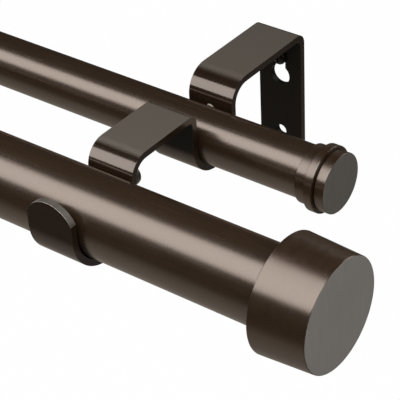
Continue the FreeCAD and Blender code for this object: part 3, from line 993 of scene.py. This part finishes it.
# Each light's place and aim, its width and height, the glow that it takes, and the direction
# of its width
LIGHTS = {
    "Long softbox": ((-0.250, -0.468, 0.516), (-0.236, -0.546, 0.022), (2.6, 0.650),
                     "softbox_glow", (0.985, 0.174, 0)),
    "Right panel": ((2.2, -0.5, 0.5), (0.0, -0.1, 0.0), (1.4, 1.2), "fill_glow", (0, 1, 0)),
    "Left panel": ((-2.7, -0.2, 0.5), (-0.5, -0.1, 0.0), (1.4, 1.2), "fill_glow", (0, 1, 0)),
    "Wall side panel": ((0.55, 1.3, 0.55), (0.08, -0.1, 0.02), (1.0, 0.8), "wall_glow",
                        (1, 0, 0)),
}

WHITE = (1, 1, 1, 1)
WARM_WHITE = (1.0, 0.92, 0.80, 1)
FLOOR_SIZE = 40
FLOOR_COLOUR = (0.30, 0.30, 0.30, 1)

# Share of the lit floor, with its shadow, that the camera sees through the white
FLOOR_SHADE = 0.006

# The floor's bright pool in reflections: its place, its stretch, where it starts and ends to
# fade, and the share that is left far off
POOL_PLACE = (-0.6, 0.25)
POOL_STRETCH = (1.5, 0.85, 1.0)
POOL_START = 0.1
POOL_END = 2.6
FAR_SHARE = 0.1

# The camera that took the photo
LENS = 149.128
SENSOR_WIDTH = 36.0
NEAREST_SEEN = 0.02
CAMERA_PLACE = Vector((0.31085, -0.44463, 0.33199))
CAMERA_RIGHT = Vector((0.79971, 0.59879, -0.04382))
CAMERA_UP = Vector((-0.31643, 0.48237, 0.81682))
CAMERA_BACK = Vector((0.51024, -0.63935, 0.57523))


def reflected(tree, seen, x, y):
    """1 for rays that come off a surface or through one."""
    return maths(tree, "MAXIMUM", x, y, seen["Is Glossy Ray"], seen["Is Transmission Ray"])


def floor_material(drop, share):
    """Pale surface that the camera sees as white, and reflections brightest round its pool."""
    material, tree = new_material("Studio floor")
    seen = add_node(tree, "ShaderNodeLightPath", -800, 200).outputs
    place = add_node(tree, "ShaderNodeTexCoord", -1200, 0)
    shaped = add_node(tree, "ShaderNodeVectorMath", -1000, 0, operation="MULTIPLY",
                      inputs={0: place.outputs["Object"], 1: POOL_STRETCH})
    pool = [stretch * at for stretch, at in zip(POOL_STRETCH, (*POOL_PLACE, -drop))]
    away = add_node(tree, "ShaderNodeVectorMath", -800, 0, operation="DISTANCE",
                    inputs={0: shaped.outputs[0], 1: pool})
    fade = add_node(tree, "ShaderNodeMapRange", -600, -50, interpolation_type="SMOOTHSTEP",
                    inputs={"Value": away.outputs["Value"], "From Min": POOL_START,
                            "From Max": POOL_END, "To Min": share, "To Max": share * FAR_SHARE})
    dimmed = maths(tree, "MULTIPLY", -400, 100, reflected(tree, seen, -600, 100),
                   fade.outputs["Result"])
    straight = maths(tree, "MULTIPLY", -400, 300, seen["Is Camera Ray"], 1 - FLOOR_SHADE)
    both = maths(tree, "MAXIMUM", -200, 200, straight, dimmed)
    lit = add_node(tree, "ShaderNodeBsdfDiffuse", -200, 0, {"Color": FLOOR_COLOUR})
    white = add_node(tree, "ShaderNodeEmission", -200, -150,
                     {"Color": mix(tree, -400, -150, seen["Is Camera Ray"], WARM_WHITE, WHITE)})
    blend = add_node(tree, "ShaderNodeMixShader", 0, 100,
                     {"Fac": both, 1: lit.outputs[0], 2: white.outputs[0]})
    add_node(tree, "ShaderNodeOutputMaterial", 200, 100, {"Surface": blend.outputs[0]})
    return material


def studio_room(stage):
    """World that the camera sees as white, and that lights the object only a little."""
    world = bpy.data.worlds.new("Studio room")
    world.use_nodes = True
    tree = world.node_tree
    tree.nodes.clear()
    seen = add_node(tree, "ShaderNodeLightPath", -800, 0).outputs
    dimmed = maths(tree, "MULTIPLY", -400, -100, reflected(tree, seen, -600, -100),
                   stage.floor_in_metal)
    both = maths(tree, "MAXIMUM", -200, 0, seen["Is Camera Ray"], dimmed)
    strength = maths(tree, "MAXIMUM", 0, 0, both, stage.world_glow)
    sky = add_node(tree, "ShaderNodeBackground", 200, 0, {"Color": WHITE, "Strength": strength})
    add_node(tree, "ShaderNodeOutputWorld", 400, 0, {"Surface": sky.outputs[0]})
    return world


def set_up(name, data, place, right, up, back):
    """Light or camera at its place, with its own axes along right, up and back."""
    obj = bpy.data.objects.new(name, data)
    bpy.context.scene.collection.objects.link(obj)
    axes = Matrix((right, up, back)).transposed().to_4x4()
    obj.matrix_world = Matrix.Translation(place) @ axes
    return obj


def panel_light(name, place, aim, size, glow, across):
    """Soft rectangular light, wide along across; glow is its brightness, where 1 is white."""
    width, height = size
    light = bpy.data.lights.new(name, "AREA")
    light.shape = "RECTANGLE"
    light.size = width
    light.size_y = height
    light.energy = glow * pi * width * height
    back = (Vector(place) - Vector(aim)).normalized()
    up = back.cross(Vector(across)).normalized()
    set_up(name, light, place, up.cross(back), up, back)


def photo_camera():
    lens = bpy.data.cameras.new("Photo camera")
    lens.lens = LENS
    lens.sensor_width = SENSOR_WIDTH
    lens.clip_start = NEAREST_SEEN
    return set_up("Photo camera", lens, CAMERA_PLACE, CAMERA_RIGHT, CAMERA_UP, CAMERA_BACK)


class CURTAIN_POLE_OT_stage(Operator):
    """Set the floor, the lights and the camera"""
    bl_idname = "curtain_pole.stage"
    bl_label = "Stage"

    def execute(self, context):
        stage = context.scene.curtain_pole_stage
        start_fresh()
        bpy.ops.mesh.primitive_plane_add(size=FLOOR_SIZE, location=(0, 0, -stage.floor_drop))
        floor = context.object
        floor.name = "studio_floor"
        bpy.ops.object.transform_apply(location=True, rotation=True, scale=True)
        floor.data.materials.append(floor_material(stage.floor_drop, stage.floor_share))
        for name, (place, aim, size, glow, across) in LIGHTS.items():
            panel_light(name, place, aim, size, getattr(stage, glow), across)
        context.scene.world = studio_room(stage)
        context.scene.view_settings.view_transform = "Standard"
        context.scene.camera = photo_camera()
        return {"FINISHED"}


STEPS = (
    CURTAIN_POLE_OT_brackets,
    CURTAIN_POLE_OT_lock_screws,
    CURTAIN_POLE_OT_wall_screws,
    CURTAIN_POLE_OT_outer_tubes,
    CURTAIN_POLE_OT_inner_tubes,
    CURTAIN_POLE_OT_front_caps,
    CURTAIN_POLE_OT_back_caps,
    CURTAIN_POLE_OT_mouth_sleeves,
    CURTAIN_POLE_OT_hidden_fittings,
    CURTAIN_POLE_OT_stage,
)


class CURTAIN_POLE_PT_sidebar(Panel):
    """Buttons for the pieces, with their sizes and colours"""
    bl_idname = "CURTAIN_POLE_PT_sidebar"
    bl_label = "Double Curtain Pole"
    bl_space_type = "VIEW_3D"
    bl_region_type = "UI"
    bl_category = "Curtain Pole"

    def draw(self, context):
        for step in STEPS:
            self.layout.operator(step.bl_idname)
        scene = context.scene
        for title, group in (("Sizes", scene.curtain_pole_sizes),
                             ("Finish", scene.curtain_pole_finish),
                             ("Stage", scene.curtain_pole_stage)):
            box = self.layout.box()
            box.label(text=title)
            for name in group.bl_rna.properties.keys():
                if name not in ("rna_type", "name"):
                    box.prop(group, name)


CLASSES = (CurtainPoleSizes, CurtainPoleFinish, CurtainPoleStage, *STEPS, CURTAIN_POLE_PT_sidebar)


def register():
    for kind in CLASSES:
        bpy.utils.register_class(kind)
    bpy.types.Scene.curtain_pole_sizes = PointerProperty(type=CurtainPoleSizes)
    bpy.types.Scene.curtain_pole_finish = PointerProperty(type=CurtainPoleFinish)
    bpy.types.Scene.curtain_pole_stage = PointerProperty(type=CurtainPoleStage)


def unregister():
    del bpy.types.Scene.curtain_pole_stage
    del bpy.types.Scene.curtain_pole_finish
    del bpy.types.Scene.curtain_pole_sizes
    for kind in reversed(CLASSES):
        bpy.utils.unregister_class(kind)


def main():
    register()
    bpy.ops.curtain_pole.brackets()
    bpy.ops.curtain_pole.lock_screws()
    bpy.ops.curtain_pole.wall_screws()
    bpy.ops.curtain_pole.outer_tubes()
    bpy.ops.curtain_pole.inner_tubes()
    bpy.ops.curtain_pole.front_caps()
    bpy.ops.curtain_pole.back_caps()
    bpy.ops.curtain_pole.mouth_sleeves()
    bpy.ops.curtain_pole.hidden_fittings()
    bpy.ops.curtain_pole.stage()


if __name__ == "__main__":
    main()
